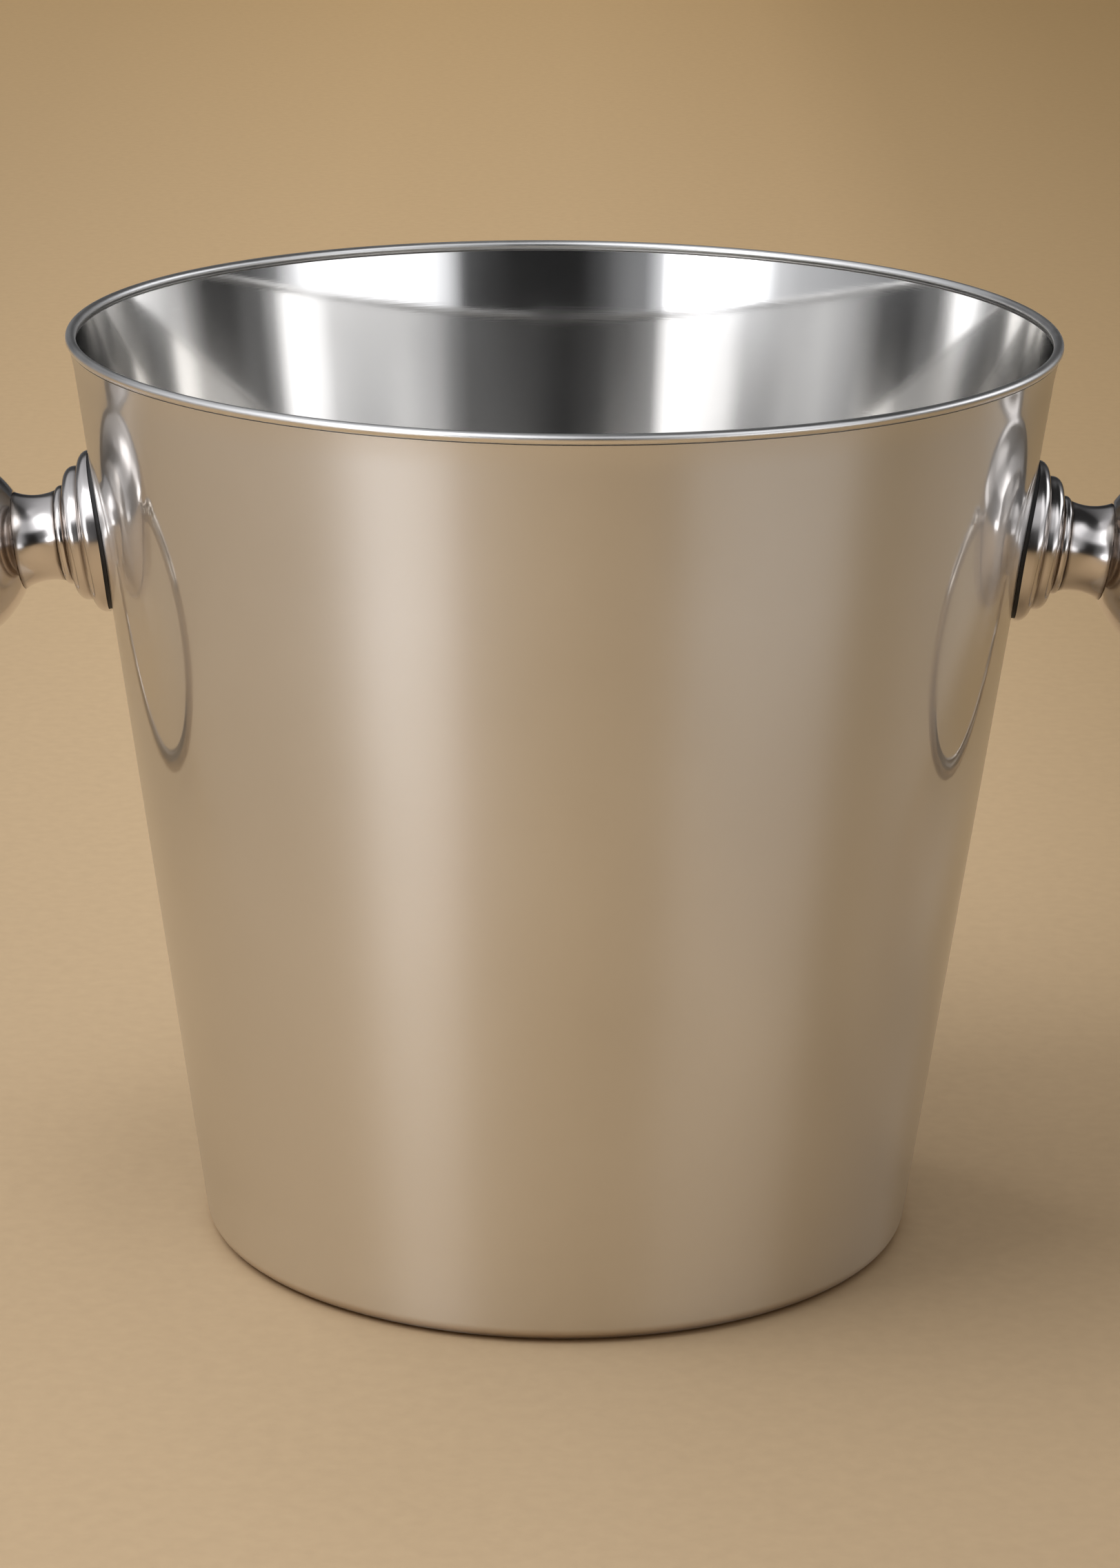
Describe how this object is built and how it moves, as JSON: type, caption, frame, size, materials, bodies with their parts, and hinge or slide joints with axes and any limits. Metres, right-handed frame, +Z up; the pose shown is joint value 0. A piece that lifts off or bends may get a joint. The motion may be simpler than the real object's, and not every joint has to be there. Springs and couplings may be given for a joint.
{
  "type": "champagne bucket",
  "caption": "Polished tapered ice bucket with a wired rim and a hanging ring handle on each side, for chilling a bottle.",
  "frame": {"origin": "centre of the ring that the wall stands on, at table height", "axes": "+Z up, X through the two ring handles, +X to the right handle"},
  "size_m": [0.3124, 0.21, 0.199],
  "materials": {
    "polished_silver": "mirror-polished silver plate",
    "stainless_steel": "fine satin",
    "black_rubber": "matte"
  },
  "bodies": {
    "bucket": {"wall": "polished_silver", "base_pan": "polished_silver", "rim_wire": "polished_silver", "left_gasket": "black_rubber", "left_escutcheon": "polished_silver", "left_neck": "polished_silver", "left_ball": "polished_silver", "left_screw": "stainless_steel", "left_lock_washer": "stainless_steel", "left_washer": "stainless_steel", "left_seal": "black_rubber", "right_gasket": "black_rubber", "right_escutcheon": "polished_silver", "right_neck": "polished_silver", "right_ball": "polished_silver", "right_screw": "stainless_steel", "right_lock_washer": "stainless_steel", "right_washer": "stainless_steel", "right_seal": "black_rubber"},
    "left_ring": {"left_ring": "polished_silver"},
    "right_ring": {"right_ring": "polished_silver"}
  },
  "joints": [
    {"name": "left_ring_swing", "type": "hinge", "parent": "bucket", "child": "left_ring", "pos_m": [-0.13471, 0, 0.14899], "axis": [0, 1, 0], "range_deg": [-41, 208]},
    {"name": "right_ring_swing", "type": "hinge", "parent": "bucket", "child": "right_ring", "pos_m": [0.13471, 0, 0.14899], "axis": [0, -1, 0], "range_deg": [-41, 208]}
  ]
}
